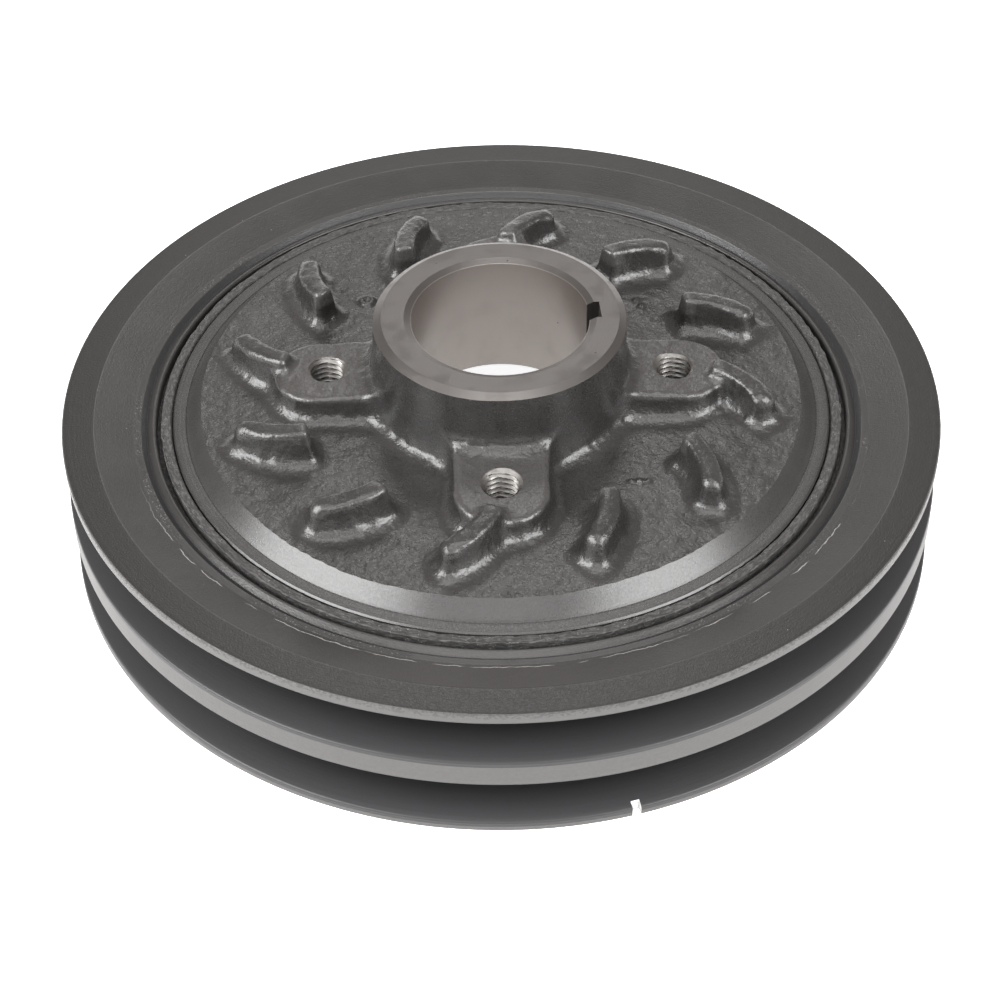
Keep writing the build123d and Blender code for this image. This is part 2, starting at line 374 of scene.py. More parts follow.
def surface_net(field, origin, step):
    """Points and quads of a field's zero surface: one point in each grid cell that it crosses."""
    inside = field < 0
    cells = tuple(n - 1 for n in field.shape)
    corners = list(np.ndindex(2, 2, 2))
    hits = sum(inside[tuple(slice(c, c + n) for c, n in zip(corner, cells))].astype(np.int8)
               for corner in corners)
    active = np.argwhere((hits > 0) & (hits < 8))
    total = np.zeros(active.shape)
    count = np.zeros(len(active))
    for low in corners:
        for axis in range(3):
            if low[axis]:
                continue
            step_up = np.eye(3, dtype=int)[axis]
            a = field[tuple((active + low).T)]
            b = field[tuple((active + low + step_up).T)]
            crossed = (a < 0) != (b < 0)
            part = np.where(crossed, a / np.where(crossed, a - b, 1), 0)
            total += crossed[:, None] * (np.array(low) + part[:, None] * step_up)
            count += crossed
    points = origin + step * (active + total / count[:, None])
    number = np.full(cells, -1)
    number[tuple(active.T)] = np.arange(len(active))
    faces = []
    for axis in range(3):
        second, third = (axis + 1) % 3, (axis + 2) % 3
        ahead = [slice(None)] * 3
        behind = [slice(None)] * 3
        ahead[axis], behind[axis] = slice(1, None), slice(None, -1)
        for other in (second, third):
            ahead[other] = behind[other] = slice(1, -1)
        low, high = inside[tuple(behind)], inside[tuple(ahead)]
        for rising in (False, True):
            edge = np.argwhere((low & ~high) if not rising else (~low & high))
            edge[:, second] += 1
            edge[:, third] += 1
            ring = []
            for back_two, back_three in ((1, 1), (0, 1), (0, 0), (1, 0)):
                cell = edge.copy()
                cell[:, second] -= back_two
                cell[:, third] -= back_three
                ring.append(number[tuple(cell.T)])
            quad = np.stack(ring, -1)
            faces.append(quad[:, ::-1] if rising else quad)
    return points, np.concatenate(faces)


def settled(points, distance, rounds=2, nudge=0.02):
    """Points moved onto the zero surface of a distance, and the surface's normals there."""
    for _ in range(rounds + 1):
        value = distance(points)
        slope = np.stack([(distance(points + nudge * axis) - value) / nudge for axis in np.eye(3)], -1)
        slope /= np.linalg.norm(slope, axis=-1, keepdims=True)
        points = points - value[:, None] * slope
    return points, slope


CAST_STEP = 0.5               # grid step of the net
CAST_FLOOR = 28.6             # the net's flat underside, inside the web
CAST_EDGE = 70.0              # the net's round edge, outside the hub
CAST_OVER = 1.0               # the net goes this far past the nose
GRAIN = ((0.075, 2.7, 11), (0.05, 1.5, 12))     # height, length and seed of the sand's lumps
RIDGES = (0.13, 1.5, 15)      # more of them on slopes, drawn out down the wall
SWELL = (0.07, 6.5, 13)       # slower unevenness, on the barrel too
RIM_CHIPS = (0.12, 1.1, 14)   # along the web's edge
BARREL_CALM = 0.75            # the share of grain and ridges that the barrel lacks


def sand_lumps(points, normals):
    """How far the grain of the sand mould stands out from the ideal skin."""
    radius = np.hypot(points[:, 0], points[:, 1])
    lumps = sum(height * lattice_noise(points, length, seed) for height, length, seed in GRAIN)
    slope = np.clip(4 * normals[:, 2] * (1 - normals[:, 2]), 0, 1)
    height, length, seed = RIDGES
    lumps += height * slope * lattice_noise(points * (1, 1, 0.5), length, seed)
    calm = np.clip((BARREL_R + 1.1 - radius) / 0.6, 0, 1)
    height, length, seed = SWELL
    lumps = lumps * (1 - BARREL_CALM * calm) + height * lattice_noise(points, length, seed)
    rim = np.clip(1 - np.abs(radius - WEB_R + 0.3) / 1.2, 0, 1)
    height, length, seed = RIM_CHIPS
    return lumps + height * rim * lattice_noise(points, length, seed)


def cast_front(materials):
    """The hub's cast front as a closed mesh, rough as the sand mould left it."""
    origin = np.array([-CAST_EDGE - 1, -CAST_EDGE - 1, CAST_FLOOR - 1.3])
    size = np.array([2 * CAST_EDGE + 2, 2 * CAST_EDGE + 2, NOSE + CAST_OVER + 1.5 - origin[2]])
    shape = np.ceil(size / CAST_STEP).astype(int)
    x, y = np.meshgrid(*(origin[i] + CAST_STEP * np.arange(shape[i]) for i in (0, 1)), indexing="ij")
    field = np.empty(shape, np.float32)
    for level in range(shape[2]):
        z = origin[2] + CAST_STEP * level
        layer = cast_distance(np.stack([x, y, np.full_like(x, z)], -1))
        limits = np.maximum(max(CAST_FLOOR - z, z - NOSE - CAST_OVER), np.hypot(x, y) - CAST_EDGE)
        field[:, :, level] = np.maximum(layer, limits)
    points, faces = surface_net(field, origin, CAST_STEP)
    skin = np.abs(cast_distance(points)) < 0.3
    skin &= (points[:, 2] > CAST_FLOOR + 1) & (points[:, 2] < NOSE + CAST_OVER / 2)
    moved, normals = settled(points[skin], cast_distance)
    points[skin] = moved + normals * sand_lumps(moved, normals)[:, None]
    points[points[:, 2] < CAST_FLOOR + 0.3, 2] = SKIRT_REAR - 2
    return make_object("cast_hub", points, faces, materials)


# ---- hub: turned surfaces, threads and keyway ---------------------------------------------------
def hub_envelope(materials):
    """The space that the lathe leaves to the hub, closed over the cast front."""
    nose_out, nose_down = NOSE_BEVEL
    bore_out, bore_down = BORE_BEVEL
    skirt_in, skirt_down = SKIRT_BEVEL
    clear = NOSE - NOSE_CUT
    bevel_slope = (WEB_TOP - LEDGE_TOP) / (LEDGE_R - WEB_R)
    outline = [
        (BORE_R, REAR_SEAT + SEAT_BEVEL, 0, BARE),
        (BORE_R, NOSE - bore_down, 0, BARE),
        (BORE_R + bore_out, NOSE, 0, BARE),
        (NOSE_R, NOSE, 0.08, BARE),
        (NOSE_R + nose_out, NOSE - nose_down, 0, BARE),
        (NOSE_R + nose_out, clear, 0, BARE),
        (WEB_R - BEVEL_IN, clear, 0, PAINTED_TURNED),
        (WEB_R - BEVEL_IN, WEB_TOP + BEVEL_IN * bevel_slope, 0, PAINTED_TURNED),
        *((LEDGE_R + out, LEDGE_TOP + up, 0, PAINTED_TURNED) for out, up in FOOT_GROOVE),
        (SKIRT_R - skirt_in, LEDGE_TOP, 0.1, PAINTED_TURNED),
        (SKIRT_R, LEDGE_TOP - skirt_down, 0.1, PAINTED_TURNED),
        (SKIRT_R, SKIRT_REAR, 0.8, PAINTED_TURNED),
        (SKIRT_IN_R, SKIRT_REAR, 0.8, PAINTED_CAST),
        (SKIRT_IN_R - SKIRT_DRAFT, WEB_BOTTOM, 5.0, PAINTED_CAST),
        (REAR_SEAT_R + REAR_SEAT_FOOT, WEB_BOTTOM, 1.5, PAINTED_CAST),
        (REAR_SEAT_R, REAR_SEAT, 0.15, BARE),
        (BORE_R + SEAT_BEVEL, REAR_SEAT, 0, BARE),
    ]
    profile, finish = rounded_profile(outline, longest=1.2)
    points, faces, face_finish = lathe(profile, finish, HUB_SEGMENTS)
    return make_object("envelope", points, faces[:, ::-1], materials, face_finish)


def thread_cutters(materials):
    """Four tapped holes as closed screws, with a countersunk mouth."""
    levels = np.arange(WEB_BOTTOM - 1.0, BOSS_TOP + 1.0, THREAD_PITCH / THREAD_STEPS)
    angle = np.linspace(0, FULL_TURN, THREAD_SEGMENTS, endpoint=False)
    phase = (levels[:, None] / THREAD_PITCH - angle / FULL_TURN) % 1
    steepness, flat_root = THREAD_RIDGE
    ridge = np.clip(steepness * (1 - np.abs(2 * phase - 1)) - flat_root, 0, 1)
    radius = THREAD_R - (THREAD_R - THREAD_CORE_R) * ridge
    wider, widest = MOUTH_WIDTH
    mouth = THREAD_R + wider - MOUTH_SLOPE * (BOSS_TOP - levels[:, None])
    radius = np.maximum(radius, np.minimum(mouth, THREAD_R + widest))
    x, y = radius * np.cos(angle), radius * np.sin(angle)
    screw = np.stack([x, y, levels[:, None] + 0 * angle], -1).reshape(-1, 3)
    screw = np.concatenate([screw, [(0, 0, levels[0]), (0, 0, levels[-1])]])
    ids = np.arange(len(levels) * THREAD_SEGMENTS).reshape(len(levels), THREAD_SEGMENTS)
    turned = np.roll(ids, -1, 1)
    walls = np.stack([ids[:-1], turned[:-1], turned[1:], ids[1:]], -1).reshape(-1, 4).tolist()
    floor = [[b, a, ids.size] for a, b in zip(ids[0], turned[0])]
    lid = [[a, b, ids.size + 1] for a, b in zip(ids[-1], turned[-1])]
    points, faces = [], []
    for i in range(BOSS_COUNT):
        points.append((screw + (BOLT_R, 0, 0)) @ turn_matrix(360 / BOSS_COUNT * i))
        faces += [[n + i * len(screw) for n in face] for face in walls + floor + lid]
    return make_object("threads", np.concatenate(points), faces, materials, np.full(len(faces), THREAD))


def block(name, low, high, angle, materials, finish):
    """Box cutter between two corners, turned about the axis."""
    corners = np.array([[x, y, z] for x in (low[0], high[0]) for y in (low[1], high[1])
                        for z in (low[2], high[2])], float)
    faces = np.array([[0, 1, 3, 2], [4, 6, 7, 5], [0, 4, 5, 1], [2, 3, 7, 6], [0, 2, 6, 4], [1, 5, 7, 3]])
    return make_object(name, corners @ turn_matrix(angle), faces, materials, np.full(len(faces), finish))


def cast_hub(materials):
    """The hub: its cast front cut by the lathe, the taps and the keyway's broach."""
    hub = cast_front(materials)
    carve(hub, hub_envelope(materials), "INTERSECT")
    carve(hub, thread_cutters(materials), "DIFFERENCE")
    half = KEY_WIDTH / 2
    slot = block("keyway", (BORE_R - 3, -half, REAR_SEAT - 5), (BORE_R + KEY_DEPTH, half, NOSE + 5),
                 KEY_ANGLE, materials, BARE)
    carve(hub, slot, "DIFFERENCE")
    shade(hub.data, CAST_CREASE)
    return hub


# ---- outer ring --------------------------------------------------------------------------------
def ring_outline():
    """Corners of the ring's section: face, grooves and bore, run clockwise."""
    flank_run = GROOVE_DEPTH * tan(radians(GROOVE_ANGLE / 2))
    root = RING_R - GROOVE_DEPTH
    land = RING_FACE - FACE_DISH
    crest = land - CREST_DROP
    outline = [
        (RING_BORE_R, REAR_BEVEL, 0, FACE),
        (RING_BORE_R, crest, 0.6, FACE),
        (RING_BORE_R + CREST_WIDTH, crest, 0.2, FACE),
        (CHANNEL_R - CHANNEL_SLOPE, land - CHANNEL_DEPTH, 0.15, FACE),
        (CHANNEL_R, land, 0.12, FILM),
        (FACE_LAND_R, land, 0.5, FACE),
        (FACE_FLAT_R, RING_FACE, 1.2, FACE),
        (RING_R, RING_FACE, 0.3, CORNER),
    ]
    for lip in LIPS:
        outline += [
            (RING_R, lip + GROOVE_OPENING, 0.45, FLANK),
            (root, lip + GROOVE_OPENING - flank_run, 0.8, FLANK),
            (root, lip + flank_run, 0.8, FLANK),
            (RING_R, lip, 0.5, FLANK),
            (RING_R, lip - LIP_PAINT, 0, LAND),
        ]
    outline += [(RING_R, 0, 0.15, FACE), (RING_BORE_R + REAR_BEVEL, 0, 0, FACE)]
    return outline


def outer_ring(materials):
    """The grooved ring, with its timing notch."""
    profile, finish = rounded_profile(ring_outline(), longest=0.9)
    points, faces, face_finish = lathe(profile, finish, RING_SEGMENTS)
    ring = make_object("outer_ring", points, faces[:, ::-1], materials, face_finish)
    half = NOTCH_WIDTH / 2
    slot = block("notch", (RING_R - NOTCH_DEPTH, -half, -1), (RING_R + 3, half, LIPS[-1] + 1),
                 NOTCH_ANGLE, materials, WHITE)
    carve(ring, slot, "DIFFERENCE")
    shade(ring.data, TURNED_CREASE)
    return ring


# ---- rubber sleeve -----------------------------------------------------------------------------
RUBBER_SEGMENTS = 1100
RUBBER_GAP = 1.1              # a gap as wide as this is open between the rubber's front and the ring
GAP_DEPTH = (2.4, 2.7)        # the gap's depth at the rubber and at the ring
FRONT_DROP = 0.1              # the rubber's level front lies this far below its highest place
FRONT_BEVEL = (0.45, 1.4)     # out from the skirt and down
REAR_HOLLOW = 0.8
FRAY = ((0.16, 1.1, 21), (0.14, 3.1, 22))       # height, length and seed of the front's unevenness
FRAY_LIMITS = (0.12, 0.1)     # its mean drop and its greatest rise
FLASH_WIDTH = 0.55
FLASH_LEAN = 0.45             # the flash leans out by this share of its height
FLASHES = (                   # first and last angle and height of torn flash at the sleeve's outer edge
    (-98, -84, 0.9),
    (-84, -52, 0.35),
    (-52, -38, 0.9),
    (-9, 1, 0.6),
    (10, 50, 0.3),
    (90, 132, 0.4),
    (184, 228, 0.8),
    (228, 262, 0.4),
)


def rubber_outline():
    """Corners of the sleeve's section, run clockwise."""
    gap_r = RING_BORE_R - RUBBER_GAP
    front = RUBBER_FRONT - FRONT_DROP
    bevel_out, bevel_down = FRONT_BEVEL
    inner_depth, outer_depth = GAP_DEPTH
    return [
        (SKIRT_R, RUBBER_REAR, 0, 0),
        (SKIRT_R, RUBBER_FRONT - bevel_down, 0, 0),
        (SKIRT_R + bevel_out, front, 0.3, 0),
        (gap_r, front, 0.3, 0),
        (gap_r + 0.1, RUBBER_FRONT - inner_depth, 0.3, 0),
        (RING_BORE_R, RUBBER_FRONT - outer_depth, 0, 0),
        (RING_BORE_R, RUBBER_REAR, 0, 0),
        ((SKIRT_R + RING_BORE_R) / 2, RUBBER_REAR + REAR_HOLLOW, 1.0, 0),
    ]


def torn_flash(points):
    """Height of the torn flash at points in plan, before it's limited to the sleeve's edge."""
    angle = np.degrees(np.arctan2(points[:, 1], points[:, 0]))
    flash = np.zeros(len(points))
    for first, last, height in FLASHES:
        turn = (angle - first) % 360
        swell = np.clip(turn / 2, 0, 1) * np.clip((last - first - turn) / 2, 0, 1)
        flash = np.maximum(flash, height * swell)
    return flash


def rubber_sleeve(materials):
    """The rubber sleeve: a turned section whose front end is uneven and edged with flash."""
    profile, finish = rounded_profile(rubber_outline(), longest=0.35)
    points, faces, _ = lathe(profile, finish, RUBBER_SEGMENTS)
    front = np.clip((points[:, 2] - RUBBER_FRONT + 1.8) / 1.2, 0, 1)
    radius = np.hypot(points[:, 0], points[:, 1])
    free = front * np.clip((radius - SKIRT_R) / 0.4, 0, 1) * np.clip((RING_BORE_R - radius) / 0.25, 0, 1)
    drop, rise = FRAY_LIMITS
    ragged = sum(height * lattice_noise(points, length, seed) for height, length, seed in FRAY) - drop
    points[:, 2] += free * np.minimum(ragged, rise)
    edge_r = RING_BORE_R - RUBBER_GAP + 0.25
    edge = np.clip(1 - np.abs(radius - edge_r) / FLASH_WIDTH, 0, 1) * front
    flash = torn_flash(points) * edge * np.clip(0.55 + 0.9 * lattice_noise(points, 1.3, 23), 0, 1)
    points[:, 2] += flash
    points[:, :2] *= (1 + FLASH_LEAN * flash / radius)[:, None]
    sleeve = make_object("rubber_sleeve", points, faces[:, ::-1], materials)
    shade(sleeve.data, CAST_CREASE)
    return sleeve


# ---- materials ---------------------------------------------------------------------------------
class Surface:
    """A node material that is built up from measures in millimetres."""

    def __init__(self, name, **inputs):
        self.material = bpy.data.materials.new(name)
        self.material.use_nodes = True
        self.tree = self.material.node_tree
        self.shader = self.tree.nodes["Principled BSDF"]
        for key, value in inputs.items():
            self.shader.inputs[key.replace("_", " ")].default_value = value
        place = self.tree.nodes.new("ShaderNodeTexCoord").outputs["Object"]
        self.place = self.vector("MULTIPLY", place, (1 / MM,) * 3)
        x, y, self.height = self.split(self.place)
        self.radius = self.math("SQRT", self.math("ADD", self.math("MULTIPLY", x, x),
                                                  self.math("MULTIPLY", y, y)))
        self.angle = self.math("ARCTAN2", y, x)

    def put(self, socket, value):
        """Link a socket, or set it to a number or colour."""
        if isinstance(value, bpy.types.NodeSocket):
            self.tree.links.new(value, socket)
        else:
            socket.default_value = value

    def math(self, operation, first, second=0.0):
        node = self.tree.nodes.new("ShaderNodeMath")
        node.operation = operation
        self.put(node.inputs[0], first)
        self.put(node.inputs[1], second)
        return node.outputs[0]

    def vector(self, operation, first, second):
        node = self.tree.nodes.new("ShaderNodeVectorMath")
        node.operation = operation
        self.put(node.inputs[0], first)
        self.put(node.inputs[1], second)
        return node.outputs["Vector"]

    def split(self, vector):
        node = self.tree.nodes.new("ShaderNodeSeparateXYZ")
        self.put(node.inputs[0], vector)
        return node.outputs

    def join(self, x, y, z):
        node = self.tree.nodes.new("ShaderNodeCombineXYZ")
        for socket, value in zip(node.inputs, (x, y, z)):
            self.put(socket, value)
        return node.outputs[0]

    def noise(self, size, detail=2.0, place=None, shift=0.0):
        """Smooth noise round 0.5, with lumps about as large as the size."""
        node = self.tree.nodes.new("ShaderNodeTexNoise")
        self.put(node.inputs["Vector"], self.vector("ADD", place or self.place, (shift, shift, shift)))
        node.inputs["Scale"].default_value = 1 / size
        node.inputs["Detail"].default_value = detail
        return node.outputs[0]

    def specks(self, size, shift=0.0):
        """Distance from the nearest of scattered points, in cells of a size."""
        node = self.tree.nodes.new("ShaderNodeTexVoronoi")
        self.put(node.inputs["Vector"], self.vector("ADD", self.place, (shift, shift, shift)))
        node.inputs["Scale"].default_value = 1 / size
        return node.outputs["Distance"]

    def ramp(self, value, low, high, start=0.0, end=1.0):
        """Smooth change from start to end as the value goes from low to high."""
        node = self.tree.nodes.new("ShaderNodeMapRange")
        node.interpolation_type = "SMOOTHSTEP"
        self.put(node.inputs["Value"], value)
        for key, number in zip(("From Min", "From Max", "To Min", "To Max"), (low, high, start, end)):
            self.put(node.inputs[key], number)
        return node.outputs[0]

    def both(self, first, second):
        """The share that two shares have in common."""
        return self.math("MULTIPLY", first, second)

    def patches(self, size, detail, low, high, shift=0.0):
        """Soft-edged patches, where noise rises from a low level to a high one."""
        return self.ramp(self.noise(size, detail, shift=shift), low, high)

    def dots(self, size, outer, inner, shift=0.0):
        """Specks, one in each cell of a size, that fade from an inner radius to an outer one."""
        return self.ramp(self.specks(size, shift), outer, inner)

    def line(self, value, centre, outer, inner):
        """A soft-edged line where a measure passes a value."""
        return self.ramp(self.math("ABSOLUTE", self.math("SUBTRACT", value, centre)), outer, inner)

    def mix(self, share, first, second):
        """Colour that goes from the first to the second as the share goes from 0 to 1."""
        node = self.tree.nodes.new("ShaderNodeMix")
        node.data_type = "RGBA"
        self.put(node.inputs["Factor"], share)
        for key, value in (("A", first), ("B", second)):
            socket = [s for s in node.inputs if s.name == key and s.type == "RGBA"][0]
            self.put(socket, value if isinstance(value, bpy.types.NodeSocket) else (*value, 1))
        return [s for s in node.outputs if s.type == "RGBA"][0]

    def turned(self, pitch, streak=25.0):
        """Noise drawn out round the axis, like the marks of a lathe tool."""
        arc = self.math("MULTIPLY", self.angle, 60 * pitch / streak)
        return self.noise(pitch, 1.5, self.join(self.radius, arc, self.height))

    def bump(self, *layers):
        """Bump from pairs of a height socket and its depth in millimetres."""
        total = None
        for height, depth in layers:
            layer = self.math("MULTIPLY", height, depth)
            total = layer if total is None else self.math("ADD", total, layer)
        node = self.tree.nodes.new("ShaderNodeBump")
        node.inputs["Distance"].default_value = MM
        self.put(node.inputs["Height"], total)
        self.put(self.shader.inputs["Normal"], node.outputs[0])

    def finish(self, colour, roughness):
        self.put(self.shader.inputs["Base Color"], colour)
        self.put(self.shader.inputs["Roughness"], roughness)
        return self.material


def cast_paint():
    """Thin black paint over a sand-cast skin, greyer on the bosses' tops."""
    s = Surface("cast_paint", IOR=1.6)
    black, rubbed_black = (0.017, 0.0162, 0.0157), (0.023, 0.022, 0.0213)
    boss_grey, dust_grey = (0.038, 0.0362, 0.035), (0.16, 0.155, 0.15)
    boss_ring = s.both(s.ramp(s.radius, BOSS_REACH, BOSS_REACH - 1.5),
                       s.ramp(s.radius, BARREL_R + 2.1, BARREL_R + 3.6))
    boss = s.both(s.ramp(s.height, BOSS_TOP - 1.5, BOSS_TOP - 0.4), boss_ring)
    dust = s.both(s.dots(1.7, 0.10, 0.05), s.patches(6, 2, 0.52, 0.6, shift=3))
    colour = s.mix(s.patches(9, 3, 0.35, 0.7), black, rubbed_black)
    colour = s.mix(boss, colour, boss_grey)
    colour = s.mix(s.both(dust, 0.5), colour, dust_grey)
    fine = s.noise(0.55, 3, shift=7)
    barrel = s.ramp(s.radius, BARREL_R + 2, BARREL_R + 1)
    s.bump((s.noise(1.3, 2.0, shift=1), s.ramp(barrel, 0, 1, 0.17, 0.05)), (fine, 0.05))
    return s.finish(colour, s.ramp(fine, 0.3, 0.7, 0.25, 0.36))


def turned_paint():
    """The same paint over a turned surface."""
    s = Surface("turned_paint", IOR=1.6)
    colour = s.mix(s.patches(5, 3, 0.4, 0.65), (0.021, 0.0203, 0.0198), (0.024, 0.0232, 0.0227))
    s.bump((s.noise(0.3, 2, shift=4), 0.02), (s.turned(0.45, 40), 0.02))
    return s.finish(colour, s.ramp(s.noise(0.4, 2, shift=9), 0.3, 0.7, 0.26, 0.34))


def bare_steel():
    """Bare turned iron of the nose, its bevels, the bore and the keyway."""
    s = Surface("bare_steel", Metallic=1.0)
    iron, stained_iron = (0.15, 0.1425, 0.137), (0.127, 0.12, 0.1145)
    painted_bore_light, rust = (0.37, 0.335, 0.312), (0.05, 0.045, 0.04)
    # painted light: the bore's wall is coloured much lighter than the other bare iron
    inside = s.ramp(s.radius, BORE_R + 0.25, BORE_R - 0.05)
    stain = s.patches(5, 4, 0.45, 0.72, shift=2)
    pits = s.both(s.dots(2.9, 0.09, 0.05, shift=5), s.patches(4, 2, 0.55, 0.6, shift=8))
    colour = s.mix(s.both(stain, 0.5), iron, stained_iron)
    colour = s.mix(s.both(inside, 0.9), colour, painted_bore_light)
    colour = s.mix(pits, colour, rust)
    s.bump((s.turned(0.22), 0.014), (s.turned(0.7), 0.01), (s.noise(0.3, 3, shift=6), 0.03), (pits, -0.05))
    return s.finish(colour, s.ramp(stain, 0, 1, 0.36, 0.44))


def thread_steel():
    """Tapped holes: bare near the mouth, with patches of grime, and darker deep down."""
    s = Surface("thread_steel", Metallic=1.0)
    bare, grimy, dark = (0.22, 0.213, 0.204), (0.11, 0.103, 0.096), (0.08, 0.076, 0.073)
    grime = s.patches(2.2, 3, 0.45, 0.65, shift=5)
    mouth = s.ramp(s.height, BOSS_TOP - 9, BOSS_TOP - 2)
    colour = s.mix(mouth, dark, s.mix(s.both(grime, 0.55), bare, grimy))
    s.bump((s.noise(0.4, 2), 0.012))
    return s.finish(colour, s.ramp(grime, 0, 1, 0.34, 0.45))


def face_paint():
    """Satin black paint on the ring's face, with a painted reflection that greys the dish in front and
    painted shade that darkens the channel by the rubber.

    A torn edge of the paint shows light outside the narrow land, drawn only along the front half as a painted
    highlight.
    """
    s = Surface("face_paint")
    black, rubbed_black, flat_black = (0.018, 0.0171, 0.0166), (0.021, 0.02, 0.0194), (0.0125, 0.0119, 0.0115)
    front_reflection_grey, edge_line_grey, torn_edge_and_highlight_grey = (0.036, 0.0342, 0.0333), (0.05, 0.048, 0.046), (0.2, 0.192, 0.185)
    lip_grey, channel_shade_black, mote_grey = (0.06, 0.058, 0.056), (0.013, 0.0133, 0.014), (0.3, 0.29, 0.28)
    dish = s.ramp(s.radius, FACE_FLAT_R, FACE_FLAT_R - 0.5)
    front = s.both(s.ramp(s.angle, -1.1, -1.5), s.ramp(s.angle, -2.1, -1.7))
    colour = s.mix(s.patches(11, 4, 0.4, 0.66), black, rubbed_black)
    colour = s.mix(s.ramp(s.radius, FACE_FLAT_R - 0.1, FACE_FLAT_R + 0.3), colour, flat_black)
    # painted reflection: the dish is coloured greyer between about -60 and -120 degrees, on the front side
    colour = s.mix(s.both(front, dish), colour, front_reflection_grey)
    # a faint lighter line along the edge of the flat band
    colour = s.mix(s.both(s.line(s.radius, FACE_FLAT_R, 0.16, 0.06), 0.3), colour, edge_line_grey)
    wander = s.math("ADD", s.radius, s.both(s.noise(2.5, 4, shift=11), 1.3))
    # the torn paint edge is real; its light colour is drawn only on the front half, as a painted highlight
    torn_front_highlight = s.both(s.ramp(s.math("SINE", s.angle), -0.3, -0.6), s.patches(7, 2, 0.4, 0.5, shift=6))
    torn = s.both(s.line(wander, FACE_LAND_R + 1.45, 0.14, 0.05), torn_front_highlight)
    colour = s.mix(torn, colour, torn_edge_and_highlight_grey)
    lip = s.both(s.line(s.radius, CHANNEL_R, 0.16, 0.05), s.patches(5, 2, 0.35, 0.6, shift=12))
    colour = s.mix(lip, colour, lip_grey)
    # painted shade: the channel by the rubber is coloured darker than the face
    channel_foot = CHANNEL_R - CHANNEL_SLOPE
    channel = s.both(s.ramp(s.radius, CHANNEL_R - 0.1, CHANNEL_R - 0.3),
                     s.ramp(s.radius, channel_foot - 0.4, channel_foot + 0.2))
    colour = s.mix(channel, colour, channel_shade_black)
    mote = s.both(s.dots(3.1, 0.045, 0.03), s.patches(9, 2, 0.55, 0.6, shift=3))
    colour = s.mix(s.both(mote, 0.5), colour, mote_grey)
    s.bump((s.noise(1.6, 2), 0.02), (s.noise(0.4, 2, shift=4), 0.04), (s.turned(0.35, 60), 0.015))
    return s.finish(colour, s.ramp(s.noise(0.6, 3, shift=9), 0.3, 0.7, 0.28, 0.36))


def land_coat():
    """Outside lands between the grooves: a thin grey coat, with a dark line under each groove's lip."""
    s = Surface("land_coat")
    grey, light_grey = (0.053, 0.0505, 0.0495), (0.058, 0.0555, 0.0545)
    speck_grey, line_black = (0.04, 0.04, 0.04), (0.008, 0.008, 0.0085)
    colour = s.mix(s.patches(0.8, 4, 0.35, 0.7, shift=5), grey, light_grey)
    speck = s.both(s.dots(1.1, 0.16, 0.08), s.patches(3, 3, 0.5, 0.6, shift=2))
    colour = s.mix(speck, colour, speck_grey)
    for lip in LIPS:
        colour = s.mix(s.line(s.height, lip - 0.72, 0.34, 0.22), colour, line_black)
    s.bump((s.turned(0.4, 12), 0.02), (s.noise(0.35, 3), 0.03))
    return s.finish(colour, 0.42)


def flank_paint():
    """Groove walls: black paint, with painted shade that darkens it towards the groove's root."""
    s = Surface("flank_paint")
    # painted shade: darkest at the groove's root, lighter near the lips
    outward = s.ramp(s.radius, RING_R - GROOVE_DEPTH, RING_R - 0.6)
    colour = s.mix(outward, (0.004, 0.004, 0.0043), (0.021, 0.0208, 0.0222))
    s.bump((s.turned(0.35, 30), 0.015), (s.noise(0.5, 3), 0.015))
    return s.finish(colour, 0.42)


def film():
    """Thin crust of rubber and paint on the ring's narrow land."""
    s = Surface("crust")
    here = s.patches(14, 2, 0.45, 0.6, shift=5)
    crumb = s.both(s.dots(0.7, 0.32, 0.2), here)
    colour = s.mix(crumb, (0.021, 0.0203, 0.02), (0.07, 0.068, 0.066))
    s.bump((s.noise(0.6, 4, shift=3), s.ramp(here, 0, 1, 0.03, 0.14)), (crumb, 0.05))
    return s.finish(colour, s.ramp(crumb, 0, 1, 0.33, 0.6))


def corner_edge():
    """Outside corner of the front flange: grey, and speckled where it meets the face."""
    s = Surface("worn_corner")
    uneven_height = s.math("ADD", s.height, s.both(s.noise(1.5, 3, shift=2), 1.2))
    upper = s.ramp(uneven_height, RING_FACE - 0.8, RING_FACE - 0.2)
    speck = s.both(upper, s.patches(0.6, 4, 0.46, 0.56))
    colour = s.mix(speck, (0.06, 0.058, 0.057), (0.043, 0.0415, 0.041))
    s.bump((s.noise(0.5, 4, shift=3), s.ramp(upper, 0, 1, 0.02, 0.04)))
    return s.finish(colour, s.ramp(speck, 0, 1, 0.4, 0.55))


def white_paint():
    """White paint that marks the timing notch, thin in places."""
    s = Surface("notch_white")
    colour = s.mix(s.patches(1.2, 3, 0.42, 0.6), (0.42, 0.42, 0.41), (0.75, 0.75, 0.74))
    s.bump((s.noise(0.6, 3, shift=2), 0.06))
    return s.finish(colour, 0.45)


def rubber():
    """Grey-black rubber with a rough end and lighter crumbs."""
    s = Surface("rubber")
    black, streak_grey, crumb_grey = (0.024, 0.0235, 0.0232), (0.06, 0.058, 0.056), (0.13, 0.128, 0.124)
    colour = s.mix(s.ramp(s.turned(0.35, 1.2), 0.42, 0.7), black, streak_grey)
    crumb = s.both(s.dots(0.55, 0.3, 0.15, shift=3), s.patches(1.6, 3, 0.45, 0.6, shift=4))
    colour = s.mix(crumb, colour, crumb_grey)
    s.bump((s.noise(0.35, 4, shift=2), 0.14), (s.turned(0.5, 2), 0.12), (crumb, 0.08))
    return s.finish(colour, 0.6)


